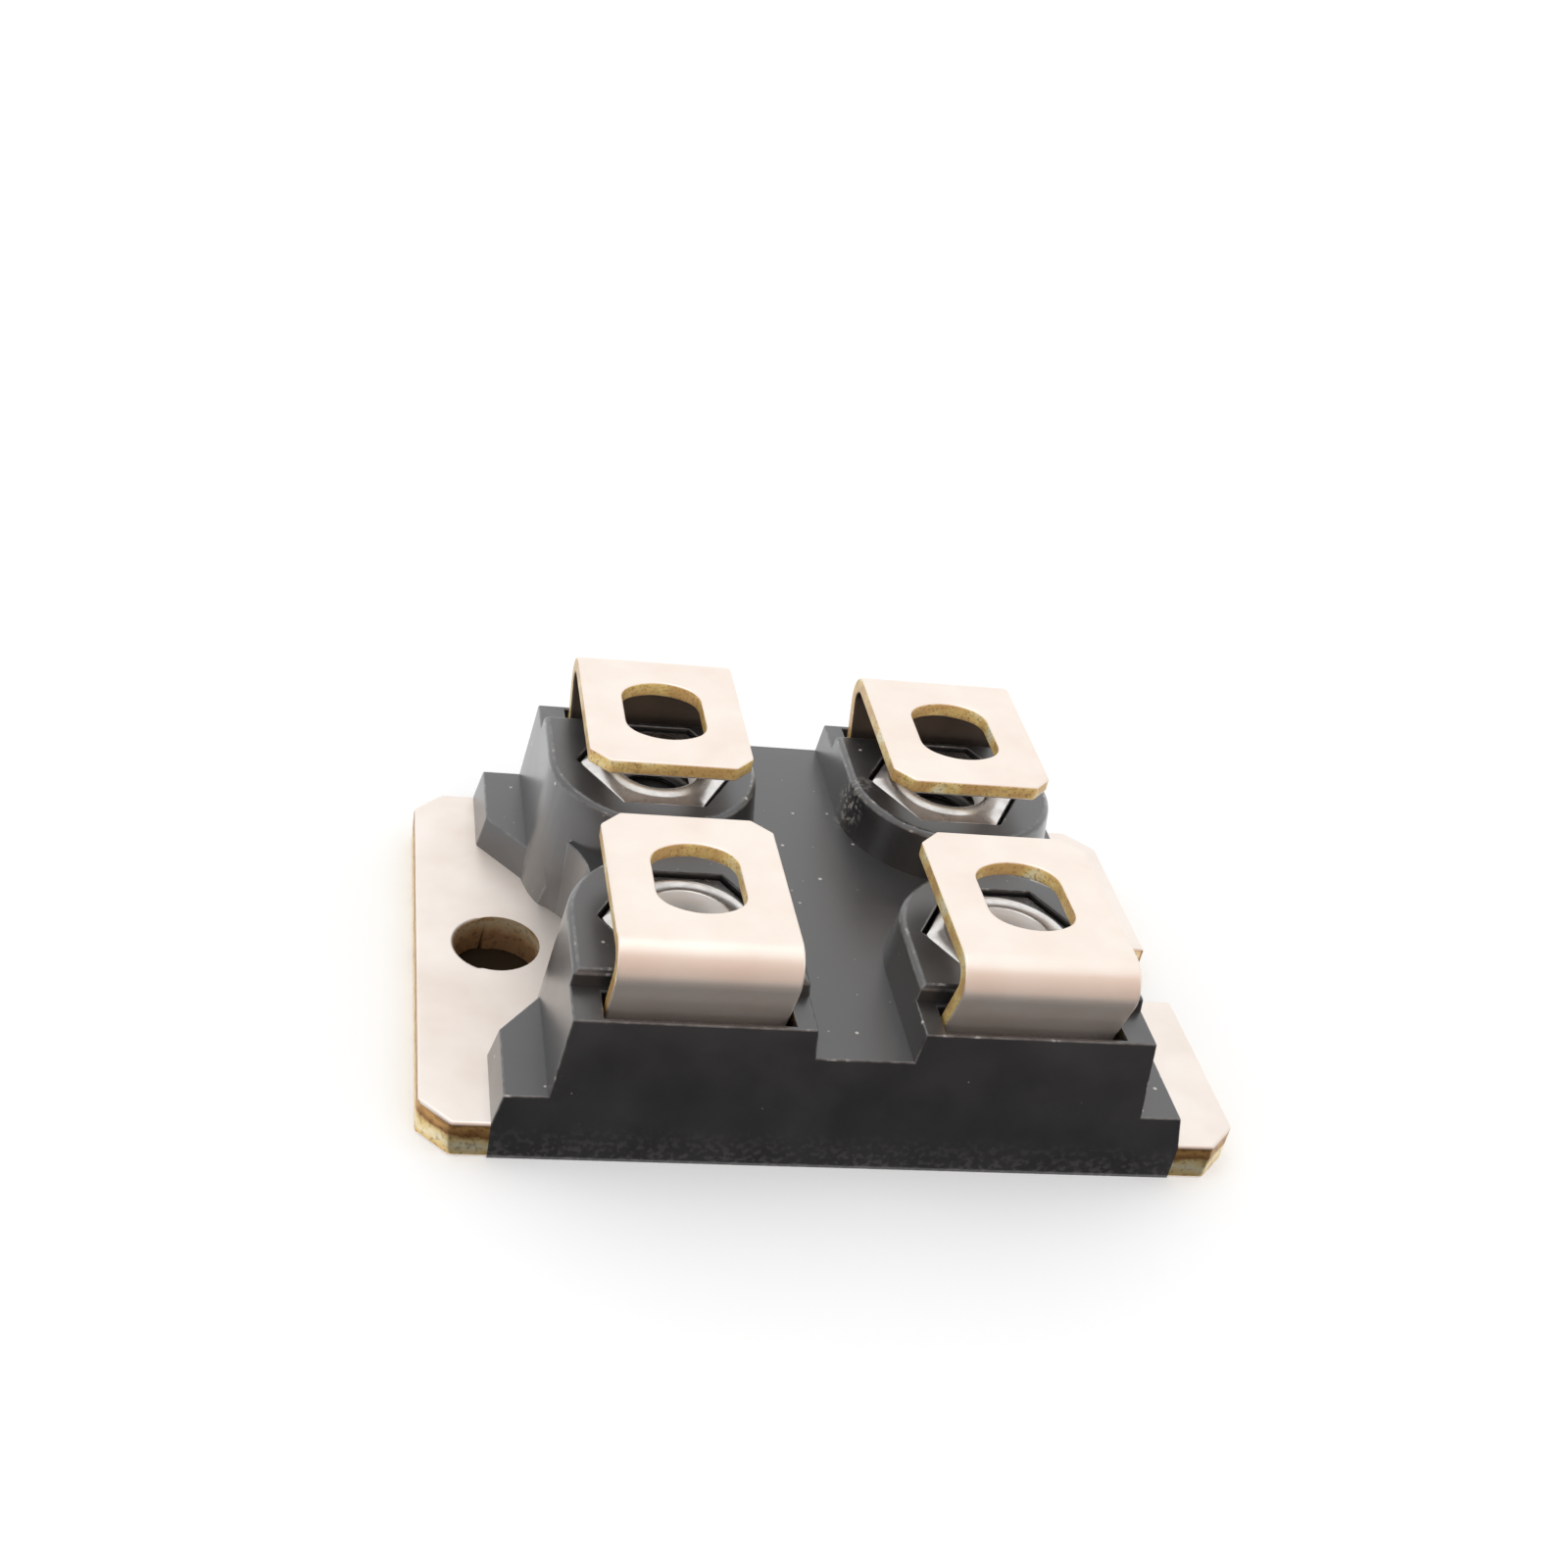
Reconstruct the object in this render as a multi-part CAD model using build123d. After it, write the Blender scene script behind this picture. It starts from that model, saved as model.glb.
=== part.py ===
"""Four-terminal isolated power semiconductor module with screw terminals.

Millimetres, +Z up, +X along the base plate.  The origin is the centre of the
base plate's underside, so the module stands on z = 0.  Front is -Y.
"""
import os
from math import cos, radians, tan

from build123d import *

# Base plate: nickel-plated copper heat spreader with one hole and one open slot
PLATE_LENGTH = 38.0
PLATE_WIDTH = 25.3
PLATE_THICKNESS = 2.0
PLATE_CORNER = 1.45
MOUNT_EDGE = 3.9
MOUNT_HOLE = 4.2

# Moulded body
EAR_LENGTH = 3.15
SIDE_WRAP = 1.2
STEP_TOP = 3.65
STEP_INNER_Y = 8.15
STEP_FLANK_Y = 5.35
STEP_DRAFT = 13.0
FLANK_SLOPE = 0.8
CHANNEL_FLOOR = 6.4
LEDGE_TOP = 8.0
LEDGE_DEPTH = 2.3
PLATEAU_TOP = 8.85
PLATEAU_RADIUS = 5.2
CROSS_CHANNEL = 2.3
TOWER_DRAFT = 7.0
TOWER_SHIFT = 0.2
RIM_CHAMFER = 0.2
RECESS_RADIUS = 4.0

# Terminals: bent strip, one over each captive nut
TERMINAL_END_INSET = 8.35
TERMINAL_SIDE_INSET = 6.3
LEG_INSET = 1.1
LEG_LEAN = 20.0
LEAN_START = 7.2
MODULE_HEIGHT = 11.7
STRIP_THICKNESS = 0.8
STRIP_WIDTH = 8.0
TAB_REACH = 4.2
TAB_DROOP = 0.7
TAB_CORNER = 0.95
LEAN_BEND_RADIUS = 2.0
TAB_BEND_RADIUS = 1.4
TAB_HOLE_SHIFT = 0.6
TAB_HOLE_LENGTH = 5.15
TAB_HOLE_WIDTH = 4.0
TAB_HOLE_CORNER = 1.3
FOOT_WIDTH = 4.6
FOOT_LENGTH = 5.0
FOOT_BEND_RADIUS = 1.2
NECK_TOP = 6.0
LEG_SLOT_WIDTH = 8.3
LEG_SLOT_DEPTH = 1.5
LEG_SLOT_INNER_GAP = 0.1
LEG_SLOT_LIP = 0.25

# Captive M4 nuts
NUT_FLATS = 6.85
NUT_THICKNESS = 3.2
NUT_PROUD = 0.25
NUT_BORE = 3.3
NUT_COUNTERSINK = 0.4
NUT_CLEARANCE = 0.12
SCREW_RELIEF_RADIUS = 2.2
SCREW_RELIEF_DEPTH = 1.2

# Power circuit sealed inside the moulding
SOLDER_THICKNESS = 0.1
COPPER_THICKNESS = 0.3
CERAMIC_COVER = 0.95
CERAMIC_THICKNESS = 0.63
COPPER_MARGIN = 0.6
PAD_GAP = 0.8
CHIP_LENGTH = 9.6
CHIP_WIDTH = 8.0
CHIP_THICKNESS = 0.25
CHIP_X = 1.2
POWER_WIRE = 0.38
POWER_WIRE_COUNT = 5
POWER_WIRE_PITCH = 0.8
SIGNAL_WIRE = 0.25
WIRE_LOOP_RISE = 0.95
BOND_INSET = 1.3

# Levels and places that follow from the sizes above
BODY_WIDTH = PLATE_WIDTH
BODY_LENGTH = PLATE_LENGTH - 2 * EAR_LENGTH
MOUNT_X = PLATE_LENGTH / 2 - MOUNT_EDGE
TERMINAL_X = BODY_LENGTH / 2 - TERMINAL_END_INSET
TERMINAL_Y = BODY_WIDTH / 2 - TERMINAL_SIDE_INSET
TOWER_Y = CROSS_CHANNEL / 2 + PLATEAU_RADIUS
LEG_Y = BODY_WIDTH / 2 - LEG_INSET
CERAMIC_LENGTH = 2 * (MOUNT_X - RECESS_RADIUS - CERAMIC_COVER)
CERAMIC_WIDTH = BODY_WIDTH - 2 * (SIDE_WRAP + CERAMIC_COVER)
CERAMIC_BOTTOM = PLATE_THICKNESS + SOLDER_THICKNESS + COPPER_THICKNESS
CERAMIC_TOP = CERAMIC_BOTTOM + CERAMIC_THICKNESS
PAD_TOP = CERAMIC_TOP + COPPER_THICKNESS
CHIP_BOTTOM = PAD_TOP + SOLDER_THICKNESS
CHIP_TOP = CHIP_BOTTOM + CHIP_THICKNESS
NUT_BOTTOM = PLATEAU_TOP + NUT_PROUD - NUT_THICKNESS
PAD_X = CERAMIC_LENGTH / 2 - COPPER_MARGIN
PAD_Y = CERAMIC_WIDTH / 2 - COPPER_MARGIN
FOOT_X = PAD_X - FOOT_WIDTH / 2
FOOT_END_Y = LEG_Y - FOOT_LENGTH
FOOT_PAD_EDGE_Y = CHIP_WIDTH / 2 + PAD_GAP
CORNERS = {
    "front_left": (-1, -1),
    "front_right": (1, -1),
    "rear_left": (-1, 1),
    "rear_right": (1, 1),
}


def block(x0, x1, y0, y1, z0, z1):
    """A box between two corners."""
    size = Box(x1 - x0, y1 - y0, z1 - z0, align=(Align.MIN, Align.MIN, Align.MIN))
    return Pos(x0, y0, z0) * size


def to_corner(shape, side_x, side_y):
    """Mirror a rear-right shape to one of the module's four quarters."""
    if side_x < 0:
        shape = mirror(shape, about=Plane.YZ)
    if side_y < 0:
        shape = mirror(shape, about=Plane.XZ)
    return shape


def base_plate():
    """Stamped plate: full-width ears, a waist that the moulding grips, hole and slot."""
    outline = chamfer(Rectangle(PLATE_LENGTH, PLATE_WIDTH).vertices(), PLATE_CORNER)
    for side in (-1, 1):
        strip_y = side * (PLATE_WIDTH - SIDE_WRAP) / 2
        outline -= Pos(0, strip_y) * Rectangle(BODY_LENGTH, SIDE_WRAP)
    outline -= Pos(-MOUNT_X, 0) * Circle(MOUNT_HOLE / 2)
    outline -= Pos(MOUNT_X, 0) * Circle(MOUNT_HOLE / 2)
    slot_length = PLATE_LENGTH / 2 - MOUNT_X
    outline -= Pos(MOUNT_X + slot_length / 2, 0) * Rectangle(slot_length, MOUNT_HOLE)
    return extrude(outline, PLATE_THICKNESS)


def copper_sheet(x0, x1, y0, y1, bottom):
    """One copper island bonded to the ceramic."""
    return block(x0, x1, y0, y1, bottom, bottom + COPPER_THICKNESS)


def drain_pad():
    """Island under the chip, with an arm out to the rear right terminal."""
    field = copper_sheet(-FOOT_X + PAD_GAP, PAD_X, -CHIP_WIDTH / 2, CHIP_WIDTH / 2, CERAMIC_TOP)
    arm = copper_sheet(PAD_X - FOOT_WIDTH - PAD_GAP, PAD_X, CHIP_WIDTH / 2, PAD_Y, CERAMIC_TOP)
    return field + arm


def signal_pad(x0, x1, side_y):
    """Island along the front or rear edge of the ceramic."""
    y0, y1 = sorted((side_y * FOOT_PAD_EDGE_Y, side_y * PAD_Y))
    return copper_sheet(x0, x1, y0, y1, CERAMIC_TOP)


def power_chip():
    """Transistor die, face up on the drain island."""
    return Pos(CHIP_X, 0, 0) * block(
        -CHIP_LENGTH / 2, CHIP_LENGTH / 2, -CHIP_WIDTH / 2, CHIP_WIDTH / 2, CHIP_BOTTOM, CHIP_TOP
    )


def chip_solder():
    """Solder layer that holds the die to its island."""
    return Pos(CHIP_X, 0, 0) * block(
        -CHIP_LENGTH / 2, CHIP_LENGTH / 2, -CHIP_WIDTH / 2, CHIP_WIDTH / 2, PAD_TOP, CHIP_BOTTOM
    )


def bond_wire(x, side_y, diameter, carriers):
    """Aluminium wire looped from the die's top to an island, drawn as a six-sided rod."""
    start = CHIP_WIDTH / 2 - BOND_INSET
    end = FOOT_PAD_EDGE_Y + BOND_INSET
    path = ThreePointArc(
        (x, side_y * start, CHIP_TOP),
        (x, side_y * (start + end) / 2, CHIP_TOP + WIRE_LOOP_RISE),
        (x, side_y * end, PAD_TOP),
    )
    section = Plane(origin=path @ 0, z_dir=path % 0) * RegularPolygon(diameter / 2, 6)
    wire = sweep(section, path=path)
    for carrier in carriers:
        wire -= carrier
    return wire


def terminal():
    """Rear-right strip: foot on the ceramic, leg up and out of the body, tab over the nut."""
    foot_bottom = PAD_TOP + SOLDER_THICKNESS
    bend_y = LEG_Y + (MODULE_HEIGHT - LEAN_START) * tan(radians(LEG_LEAN))
    end_y = TERMINAL_Y - TAB_REACH
    tab_end = MODULE_HEIGHT - (bend_y - end_y) * tan(radians(TAB_DROOP))
    outer_line = FilletPolyline(
        (0, FOOT_END_Y, foot_bottom),
        (0, LEG_Y, foot_bottom),
        (0, LEG_Y, LEAN_START),
        (0, bend_y, MODULE_HEIGHT),
        (0, end_y, tab_end),
        radius=[FOOT_BEND_RADIUS, LEAN_BEND_RADIUS, TAB_BEND_RADIUS],
    )
    section = make_face(offset(outer_line, STRIP_THICKNESS, side=Side.RIGHT))
    strip = Pos(TERMINAL_X, 0, 0) * extrude(section, STRIP_WIDTH / 2, both=True)
    free_end = strip.faces().sort_by(Axis.Y)[0]
    corners = free_end.edges().filter_by(lambda edge: abs(edge.length - STRIP_THICKNESS) < 0.01)
    strip = chamfer(corners, TAB_CORNER)
    tab_hole = Circle(TAB_HOLE_LENGTH / 2) & Rectangle(TAB_HOLE_WIDTH, TAB_HOLE_LENGTH)
    tab_hole = fillet(tab_hole.vertices(), TAB_HOLE_CORNER)
    strip -= Pos(TERMINAL_X, TERMINAL_Y + TAB_HOLE_SHIFT, PLATEAU_TOP) * extrude(tab_hole, MODULE_HEIGHT)
    leg_zone = block(FOOT_X - FOOT_WIDTH / 2, FOOT_X + FOOT_WIDTH / 2, 0, BODY_WIDTH, 0, NECK_TOP)
    tab_zone = block(0, BODY_LENGTH, 0, BODY_WIDTH, NECK_TOP, 2 * MODULE_HEIGHT)
    return strip & (leg_zone + tab_zone)


def terminal_solder():
    """Solder layer under each of the four feet."""
    y0 = FOOT_END_Y
    y1 = PAD_Y
    x0 = FOOT_X - FOOT_WIDTH / 2
    layer = block(x0, x0 + FOOT_WIDTH, y0, y1, PAD_TOP, PAD_TOP + SOLDER_THICKNESS)
    return [to_corner(layer, *sides) for sides in CORNERS.values()]


def nut():
    """M4 hexagon nut with both faces turned to a ring and the bore countersunk."""
    ring = NUT_FLATS / 2
    corner = ring / cos(radians(30))
    turned_depth = (corner - ring) * tan(radians(30))
    bore = NUT_BORE / 2
    mouth = bore + NUT_COUNTERSINK
    profile = Polyline(
        (mouth, 0),
        (ring, 0),
        (corner, turned_depth),
        (corner, NUT_THICKNESS - turned_depth),
        (ring, NUT_THICKNESS),
        (mouth, NUT_THICKNESS),
        (bore, NUT_THICKNESS - NUT_COUNTERSINK),
        (bore, NUT_COUNTERSINK),
        close=True,
    )
    turned = revolve(Plane.XZ * make_face(profile), Axis.Z)
    hexagon = extrude(RegularPolygon(ring, 6, major_radius=False), NUT_THICKNESS)
    return hexagon & turned


def terminal_nuts():
    """The four nuts, seated on the floors of their pockets."""
    seated = Pos(TERMINAL_X, TERMINAL_Y, NUT_BOTTOM) * nut()
    return [to_corner(seated, *sides) for sides in CORNERS.values()]


def tower_form():
    """Rear-right tower: a round-ended boss with drafted walls, taller than it is cut to."""
    height = PLATEAU_TOP - PLATE_THICKNESS
    foot_radius = PLATEAU_RADIUS + height * tan(radians(TOWER_DRAFT))
    plan = Circle(foot_radius) + Pos(0, BODY_WIDTH / 2) * Rectangle(2 * foot_radius, BODY_WIDTH)
    form = extrude(plan, height, taper=TOWER_DRAFT)
    return Pos(TERMINAL_X + TOWER_SHIFT, TOWER_Y, PLATE_THICKNESS) * form


def corner_step():
    """Rear-right low step beside the tower, with a slanted flank towards the mounting hole."""
    end = BODY_LENGTH / 2
    flank_run = (STEP_INNER_Y - STEP_FLANK_Y) * FLANK_SLOPE
    plan = make_face(
        Polyline(
            (TERMINAL_X, STEP_FLANK_Y),
            (end - flank_run, STEP_FLANK_Y),
            (end, STEP_INNER_Y),
            (end, BODY_WIDTH),
            (TERMINAL_X, BODY_WIDTH),
            close=True,
        )
    )
    height = STEP_TOP - PLATE_THICKNESS
    return Pos(0, 0, PLATE_THICKNESS) * extrude(plan, height, taper=STEP_DRAFT)


def channel_block():
    """Low middle of the moulding: its top is the floor of the crossed channels."""
    neck = Polyline(
        (MOUNT_X, 0),
        (TERMINAL_X, TERMINAL_Y),
        (-TERMINAL_X, TERMINAL_Y),
        (-MOUNT_X, 0),
        (-TERMINAL_X, -TERMINAL_Y),
        (TERMINAL_X, -TERMINAL_Y),
        close=True,
    )
    plan = make_face(neck) + Rectangle(2 * TERMINAL_X, BODY_WIDTH)
    plan -= Pos(MOUNT_X, 0) * Circle(RECESS_RADIUS)
    plan -= Pos(-MOUNT_X, 0) * Circle(RECESS_RADIUS)
    height = CHANNEL_FLOOR - PLATE_THICKNESS
    return Pos(0, 0, PLATE_THICKNESS) * extrude(plan, height)


def recess():
    """Room for a screw head and washer over the right-hand mounting slot."""
    height = PLATEAU_TOP - PLATE_THICKNESS
    return Pos(MOUNT_X, 0, PLATE_THICKNESS) * extrude(Circle(RECESS_RADIUS), height)


def nut_pocket():
    """Rear-right hexagonal pocket with a relief below it for the screw's end."""
    flats = NUT_FLATS + 2 * NUT_CLEARANCE
    hexagon = RegularPolygon(flats / 2, 6, major_radius=False)
    relief_bottom = NUT_BOTTOM - SCREW_RELIEF_DEPTH
    pocket = Pos(0, 0, NUT_BOTTOM) * extrude(hexagon, NUT_THICKNESS)
    relief = Pos(0, 0, relief_bottom) * extrude(Circle(SCREW_RELIEF_RADIUS), SCREW_RELIEF_DEPTH)
    return Pos(TERMINAL_X, TERMINAL_Y, 0) * (pocket + relief)


def leg_slot():
    """Rear-right slot in the ledge that frees the terminal's leg for bending."""
    half = LEG_SLOT_WIDTH / 2
    return block(
        TERMINAL_X - half,
        TERMINAL_X + half,
        LEG_Y - STRIP_THICKNESS - LEG_SLOT_INNER_GAP,
        BODY_WIDTH / 2 - LEG_SLOT_LIP,
        LEDGE_TOP - LEG_SLOT_DEPTH,
        PLATEAU_TOP,
    )


def moulded_body(sealed_in):
    """Epoxy moulding cast round the plate's waist and the whole power circuit."""
    end = BODY_LENGTH / 2
    side = BODY_WIDTH / 2
    form = channel_block()
    for sides in CORNERS.values():
        form += to_corner(tower_form(), *sides)
        form += to_corner(corner_step(), *sides)
    for y0 in (-side, side - SIDE_WRAP):
        form += block(-end, end, y0, y0 + SIDE_WRAP, 0, PLATE_THICKNESS)
    form &= block(-end, end, -side, side, 0, PLATEAU_TOP)
    ledge_y = side - LEDGE_DEPTH
    form -= block(-end, end, ledge_y, side, LEDGE_TOP, PLATEAU_TOP)
    form -= block(-end, end, -side, -ledge_y, LEDGE_TOP, PLATEAU_TOP)
    form -= recess()
    form -= mirror(recess(), about=Plane.YZ)
    rims = form.edges().filter_by_position(Axis.Z, PLATEAU_TOP, PLATEAU_TOP)
    form = chamfer(rims, RIM_CHAMFER)
    for sides in CORNERS.values():
        form -= to_corner(nut_pocket(), *sides)
        form -= to_corner(leg_slot(), *sides)
    for piece in sealed_in:
        form -= piece
    return form


def substrate_layer(inset, bottom, top):
    """One full layer of the insulating substrate or of the solder under it."""
    half_x = CERAMIC_LENGTH / 2 - inset
    half_y = CERAMIC_WIDTH / 2 - inset
    return block(-half_x, half_x, -half_y, half_y, bottom, top)


os.makedirs("parts", exist_ok=True)

solder_top = PLATE_THICKNESS + SOLDER_THICKNESS
drain = drain_pad()
source = signal_pad(-PAD_GAP / 2, PAD_X, -1)
gate = signal_pad(-PAD_X, -3 * PAD_GAP / 2, -1)
sense = signal_pad(-PAD_X, PAD_X - FOOT_WIDTH - 2 * PAD_GAP, 1)
chip = power_chip()
last_power_wire_x = FOOT_X - FOOT_WIDTH / 2 - POWER_WIRE_PITCH
power_wires = [
    bond_wire(last_power_wire_x - i * POWER_WIRE_PITCH, -1, POWER_WIRE, [chip, source])
    for i in range(POWER_WIRE_COUNT)
]
circuit = {
    "base_solder": substrate_layer(COPPER_MARGIN, PLATE_THICKNESS, solder_top),
    "substrate_back_copper": substrate_layer(COPPER_MARGIN, solder_top, CERAMIC_BOTTOM),
    "substrate_ceramic": substrate_layer(0, CERAMIC_BOTTOM, CERAMIC_TOP),
    "drain_pad": drain,
    "source_pad": source,
    "gate_pad": gate,
    "sense_pad": sense,
    "chip_solder": chip_solder(),
    "power_chip": chip,
    "source_wires": power_wires,
    "gate_wire": bond_wire(-(CHIP_LENGTH / 2 - CHIP_X - PAD_GAP), -1, SIGNAL_WIRE, [chip, gate]),
    "sense_wire": bond_wire(0, 1, SIGNAL_WIRE, [chip, sense]),
    "terminal_solder": terminal_solder(),
}
for corner, sides in CORNERS.items():
    circuit["terminal_" + corner] = to_corner(terminal(), *sides)

sealed_in = []
for piece in circuit.values():
    sealed_in += piece if isinstance(piece, list) else [piece]

module = dict(circuit)
module["base_plate"] = base_plate()
module["terminal_nuts"] = terminal_nuts()
module["moulded_body"] = moulded_body(sealed_in)

for name, piece in module.items():
    if isinstance(piece, list):
        piece = Compound(piece)
    export_step(piece, "parts/" + name + ".step")
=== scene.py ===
"""Four-terminal power semiconductor module: finishes, edges, threads and studio."""
import math

import bmesh
import bpy
from mathutils import Matrix, Vector


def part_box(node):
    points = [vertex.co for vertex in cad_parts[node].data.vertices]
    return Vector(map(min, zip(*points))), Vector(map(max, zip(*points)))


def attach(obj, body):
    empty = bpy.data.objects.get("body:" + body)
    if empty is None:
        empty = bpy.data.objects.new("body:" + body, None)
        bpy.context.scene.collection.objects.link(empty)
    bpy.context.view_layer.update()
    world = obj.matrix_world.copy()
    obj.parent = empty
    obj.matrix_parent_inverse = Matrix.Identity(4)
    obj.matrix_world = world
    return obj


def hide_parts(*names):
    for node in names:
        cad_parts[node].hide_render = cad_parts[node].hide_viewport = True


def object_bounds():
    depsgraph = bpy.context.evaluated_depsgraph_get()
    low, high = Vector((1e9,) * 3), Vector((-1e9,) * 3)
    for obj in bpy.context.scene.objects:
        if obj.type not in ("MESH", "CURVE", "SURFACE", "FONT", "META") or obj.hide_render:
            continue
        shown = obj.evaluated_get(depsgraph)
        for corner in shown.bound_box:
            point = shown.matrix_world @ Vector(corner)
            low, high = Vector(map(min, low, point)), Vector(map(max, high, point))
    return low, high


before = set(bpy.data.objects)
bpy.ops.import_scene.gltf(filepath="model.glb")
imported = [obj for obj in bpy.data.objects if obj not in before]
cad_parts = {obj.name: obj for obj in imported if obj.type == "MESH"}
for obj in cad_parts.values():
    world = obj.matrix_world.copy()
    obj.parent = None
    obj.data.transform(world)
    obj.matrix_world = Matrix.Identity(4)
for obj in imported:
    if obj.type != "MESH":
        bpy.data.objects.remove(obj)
cad_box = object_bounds()


# ---- Base plate -----------------------------------------------------------
# The heat spreader under the module: a copper strip stamped to shape, tumbled
# and then plated with matt nickel.  The plating is thin on the sheared edges
# and in the screw holes, so the copper shows there in streaks.
MM = 0.001
WELD_GAP = 0.005 * MM
# the turns between two faces up to which they are one flat, one curve, or shaded as one
FLAT_TURN = math.radians(0.4)
CURVE_TURN = math.radians(24)
SHARP_TURN = math.radians(50)
# a face is a wall where its normal rises or falls by less than this
WALL_RISE = 0.3
PLATE_EDGE_RADIUS = 0.16 * MM

PLATE_NICKEL = "#FBF3EC"
PLATE_NICKEL_WARM = "#F0E4DA"
SHEAR_GOLD = "#F2D898"
SHEAR_SMEAR = "#FFF4D2"
SHEAR_TAN = "#D6A868"
SHEAR_BROWN = "#9C6C40"
SHEAR_DARK = "#4A3019"
HOLE_BROWN = "#F0CC9C"
HOLE_TAN = "#FFF0CC"
HOLE_DARK = "#D6AC80"
# the holes' walls lie within this distance of the long axis, and this far from the plate's ends
HOLE_REACH = 3.0 * MM
END_MARGIN = 0.5 * MM
# how far the ragged line of the tear may wander in all, in mm
TEAR_WANDER = 0.9


def paint(code):
    """A linear colour from an sRGB hex value."""
    parts = [int(code[i : i + 2], 16) / 255 for i in (1, 3, 5)]
    linear = [c / 12.92 if c <= 0.04045 else ((c + 0.055) / 1.055) ** 2.4 for c in parts]
    return (*linear, 1.0)


def set_sockets(tree, node, sockets):
    """Sets a node's sockets, or links them where the value is another node's socket."""
    for socket, value in sockets.items():
        if isinstance(value, bpy.types.NodeSocket):
            tree.links.new(value, node.inputs[socket])
        else:
            node.inputs[socket].default_value = value


def add(tree, kind, sockets=None, stops=(), **settings):
    """Adds a shader node with its settings, its sockets, and its ramp's stops, both ends first."""
    node = tree.nodes.new("ShaderNode" + kind)
    for name, value in settings.items():
        setattr(node, name, value)
    for i, (place, code) in enumerate(stops):
        ramp = node.color_ramp.elements
        element = ramp[i] if i < 2 else ramp.new(place)
        element.position = place
        element.color = paint(code)
    set_sockets(tree, node, sockets or {})
    return node


def start_finish(name):
    """A new material: itself, its nodes, its shader and its place in millimetres."""
    finish = bpy.data.materials.new(name)
    finish.use_nodes = True
    tree = finish.node_tree
    place = add(tree, "TexCoord")
    mm = add(tree, "Mapping", {"Vector": place.outputs["Object"], "Scale": (1 / MM,) * 3})
    return finish, tree, tree.nodes["Principled BSDF"], mm.outputs["Vector"]


def merged_copy(node):
    """A CAD node's shell with its triangles welded back to whole faces."""
    form = bmesh.new()
    form.from_mesh(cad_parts[node].data)
    bmesh.ops.remove_doubles(form, verts=form.verts, dist=WELD_GAP)
    bmesh.ops.dissolve_limit(
        form, angle_limit=FLAT_TURN, verts=form.verts, edges=form.edges, delimit=set()
    )
    form.normal_update()
    return form


def mark_sharp(form):
    """Smooth faces all over, with a crease left where two faces meet at a sharp turn."""
    for face in form.faces:
        face.smooth = True
    for edge in form.edges:
        edge.smooth = edge.is_manifold and edge.calc_face_angle() < SHARP_TURN


def round_edges(form, radius, segments, wanted=lambda edge: True, rounding=None):
    """Rounds the sharp edges that are wanted; the new faces may take a finish of their own."""
    sharp = [
        edge for edge in form.edges
        if edge.is_manifold and edge.calc_face_angle() > CURVE_TURN and wanted(edge)
    ]
    # with the clamp on, the shortest edge of the whole mesh would limit every rounding
    made = bmesh.ops.bevel(
        form, geom=sharp, offset=radius, offset_type="OFFSET", segments=segments,
        profile=0.5, affect="EDGES", clamp_overlap=False, material=-1,
    )
    if rounding is not None:
        for face in made["faces"]:
            face.material_index = rounding
    mark_sharp(form)


def finished_piece(name, form, finishes):
    """An object at the origin from a bmesh, with its finishes and flat faces that stay flat."""
    mesh = bpy.data.meshes.new(name)
    form.to_mesh(mesh)
    form.free()
    for finish in finishes:
        mesh.materials.append(finish)
    piece = bpy.data.objects.new(name, mesh)
    bpy.context.scene.collection.objects.link(piece)
    piece.modifiers.new("flat_faces", "WEIGHTED_NORMAL").keep_sharp = True
    return piece


def give(nodes, finish):
    """Puts one finish on CAD nodes, in place of what they have."""
    for node in nodes:
        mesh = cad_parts[node].data
        mesh.materials.clear()
        mesh.materials.append(finish)


def matt_nickel():
    """Matt nickel on tumbled copper: cloudy blotches of 4 mm and a grit of 0.1 mm."""
    finish, tree, shader, mm = start_finish("matt_nickel_plating")
    cloud = add(tree, "TexNoise", {"Vector": mm, "Scale": 1 / 4.0, "Detail": 4.0})
    # real grit is near 0.03 mm; drawn at 0.1 mm so that it shows
    grit = add(tree, "TexNoise", {"Vector": mm, "Scale": 1 / 0.1, "Detail": 2.0})
    share = add(
        tree, "MapRange",
        {"Value": cloud.outputs["Fac"], "From Min": 0.35, "From Max": 0.75, "To Max": 0.8},
    )
    tint = add(
        tree, "Mix",
        {0: share.outputs[0], 6: paint(PLATE_NICKEL), 7: paint(PLATE_NICKEL_WARM)},
        data_type="RGBA",
    )
    dull = add(
        tree, "MapRange",
        {"Value": cloud.outputs["Fac"], "From Min": 0.3, "From Max": 0.7,
         "To Min": 0.45, "To Max": 0.55},
    )
    relief = add(
        tree, "Bump",
        {"Height": grit.outputs["Fac"], "Strength": 0.12, "Distance": 0.01 * MM},
    )
    set_sockets(tree, shader, {
        "Base Color": tint.outputs[2], "Roughness": dull.outputs[0],
        "Normal": relief.outputs["Normal"], "Metallic": 1.0,
    })
    return finish


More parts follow.
